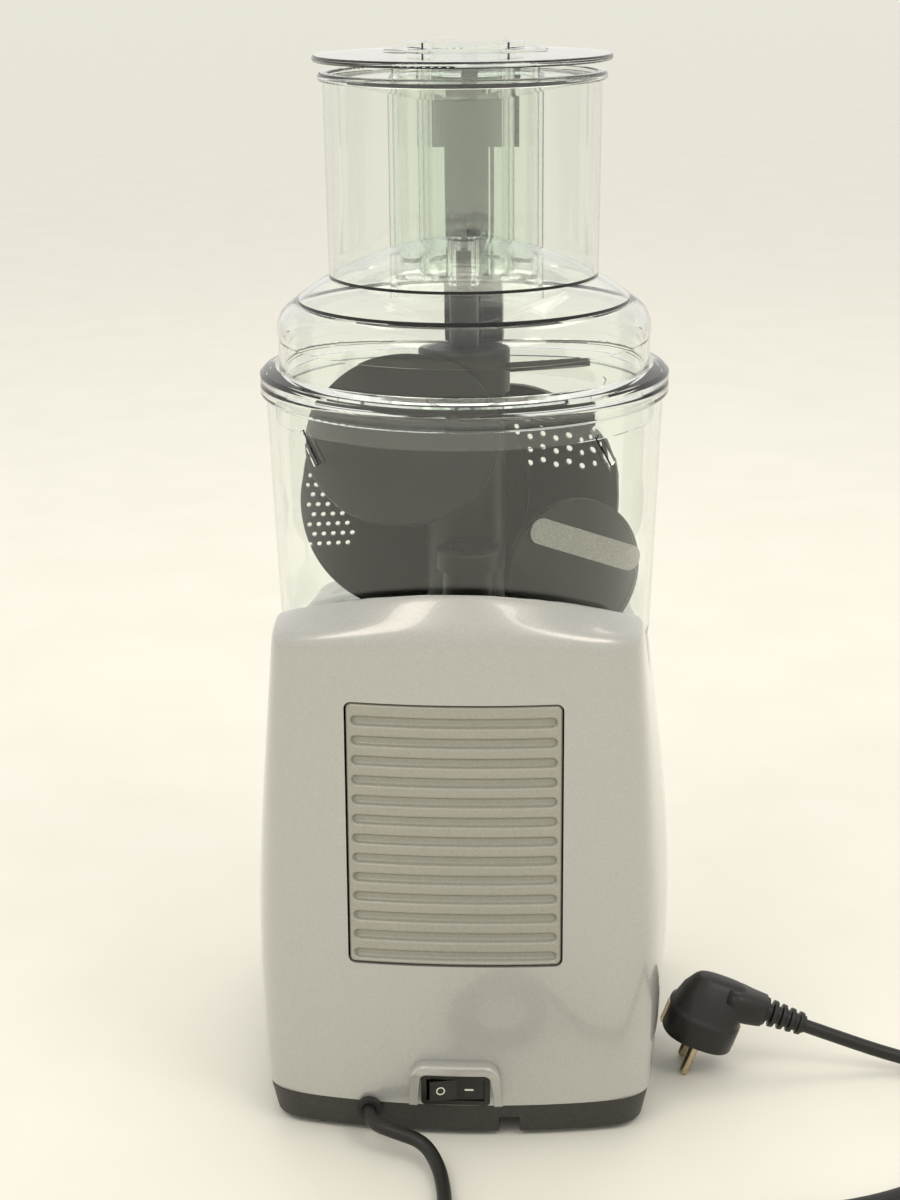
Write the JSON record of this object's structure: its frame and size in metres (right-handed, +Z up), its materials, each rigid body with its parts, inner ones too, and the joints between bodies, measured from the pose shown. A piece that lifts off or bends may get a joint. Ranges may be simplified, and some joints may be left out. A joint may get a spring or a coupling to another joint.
{
  "type": "food processor",
  "caption": "Upright food processor: glossy casing with rear vent grille and rocker switch, clear bowl with stored discs, domed lid with wide feed tower, nested pushers, mains lead.",
  "frame": {"origin": "centre of the machine's footprint box at the table, without the mains lead", "axes": "+Z up, -Y towards the user's side with the handle and buttons, +Y towards the vent, switch and mains lead"},
  "size_m": [0.3729, 0.4515, 0.5151],
  "materials": {
    "silver": "pearl silver ABS, glossy",
    "vent_silver": "satin silver ABS",
    "black_plastic": "fine moulded texture",
    "rubber": "soft rubber",
    "clear": "clear copolyester",
    "dark_grey": "moulded dark grey",
    "steel": "ground stainless steel",
    "iron": "varnished laminations",
    "copper": "enamelled copper wire",
    "aluminium": "die cast",
    "board": "glass-fibre board",
    "button": "moulded",
    "lens": "translucent",
    "brass": "nickel-plated brass",
    "cord": "PVC sheath",
    "nylon": "natural nylon"
  },
  "bodies": {
    "base": {"feet": "rubber", "base_pan": "black_plastic", "casing": "silver", "vent_panel": "vent_silver", "front_fascia": "silver", "indicator_lens": "lens", "control_board": "board", "switch_bezel": "black_plastic", "rocker_pin": "steel", "cord_gland": "rubber", "stator_core": "iron", "field_windings": "copper", "lower_bearing": "steel", "upper_bearing": "steel", "lower_bracket": "aluminium", "upper_bracket": "aluminium", "motor_screws": "steel", "shaft_seal": "rubber", "capacitor": "aluminium", "terminal_block": "nylon", "interlock_switch": "black_plastic", "cord_lead": "cord", "cord_coil": "cord", "cord_tail": "cord", "plug_body": "cord", "plug_relief": "cord", "plug_pins": "brass", "earth_clips": "brass"},
    "rotor": {"rotor_core": "iron", "motor_shaft": "steel", "drive_spindle": "steel", "cooling_fan": "nylon"},
    "rocker": {"rocker": "black_plastic"},
    "pulse_button": {"pulse_button": "button"},
    "on_button": {"on_button": "button"},
    "stop_button": {"stop_button": "button"},
    "bowl": {"bowl": "clear", "bowl_tube": "clear", "tool_sleeve": "dark_grey", "bowl_handle": "dark_grey", "handle_cover": "dark_grey", "tool_stem": "dark_grey", "tool_wings": "dark_grey", "cover_disc": "dark_grey", "sieve_disc": "dark_grey", "grating_disc": "dark_grey", "slicing_disc": "dark_grey", "slicing_blade": "steel", "blade_hub": "dark_grey", "interlock_spring": "steel"},
    "interlock_rod": {"interlock_rod": "dark_grey"},
    "lid": {"lid": "clear", "feed_tower": "clear", "feed_funnel": "clear", "feed_chute": "clear", "lid_arm": "dark_grey"},
    "lid_slider": {"lid_slider": "dark_grey"},
    "large_pusher": {"large_pusher": "clear"},
    "small_pusher": {"small_pusher": "clear"}
  },
  "joints": [
    {"name": "motor_spin", "type": "hinge", "parent": "base", "child": "rotor", "pos_m": [0, 0.017, 0.1], "axis": [0, 0, 1], "continuous": true},
    {"name": "rocker_tilt", "type": "hinge", "parent": "base", "child": "rocker", "pos_m": [0, 0.13, 0.027], "axis": [0, 0, 1], "range_deg": [-14, 0]},
    {"name": "pulse_button_press", "type": "slide", "parent": "base", "child": "pulse_button", "axis": [0, 1, 0], "range_m": [0, 0.002], "stiffness_N_per_m": 400},
    {"name": "on_button_press", "type": "slide", "parent": "base", "child": "on_button", "axis": [0, 1, 0], "range_m": [0, 0.002], "stiffness_N_per_m": 400},
    {"name": "stop_button_press", "type": "slide", "parent": "base", "child": "stop_button", "axis": [0, 1, 0], "range_m": [0, 0.002], "stiffness_N_per_m": 400},
    {"name": "bowl_lift", "type": "slide", "parent": "base", "child": "bowl", "axis": [0, 0, 1], "range_m": [0, 0.2]},
    {"name": "lid_lift", "type": "slide", "parent": "bowl", "child": "lid", "axis": [0, 0, 1], "range_m": [0, 0.2]},
    {"name": "large_pusher_slide", "type": "slide", "parent": "lid", "child": "large_pusher", "axis": [0, 0, 1], "range_m": [0, 0.11]},
    {"name": "small_pusher_slide", "type": "slide", "parent": "large_pusher", "child": "small_pusher", "axis": [0, 0, 1], "range_m": [0, 0.11]},
    {"name": "slider_press", "type": "slide", "parent": "lid", "child": "lid_slider", "axis": [0, 0, 1], "range_m": [0, 0.005]},
    {"name": "rod_press", "type": "slide", "parent": "bowl", "child": "interlock_rod", "axis": [0, 0, 1], "range_m": [0, 0.005], "deforming": ["interlock_spring"]}
  ],
  "couplings": [
    {"joint": "slider_press", "follows": "large_pusher_slide", "ratio": 0.045455},
    {"joint": "rod_press", "follows": "large_pusher_slide", "ratio": 0.045455}
  ]
}
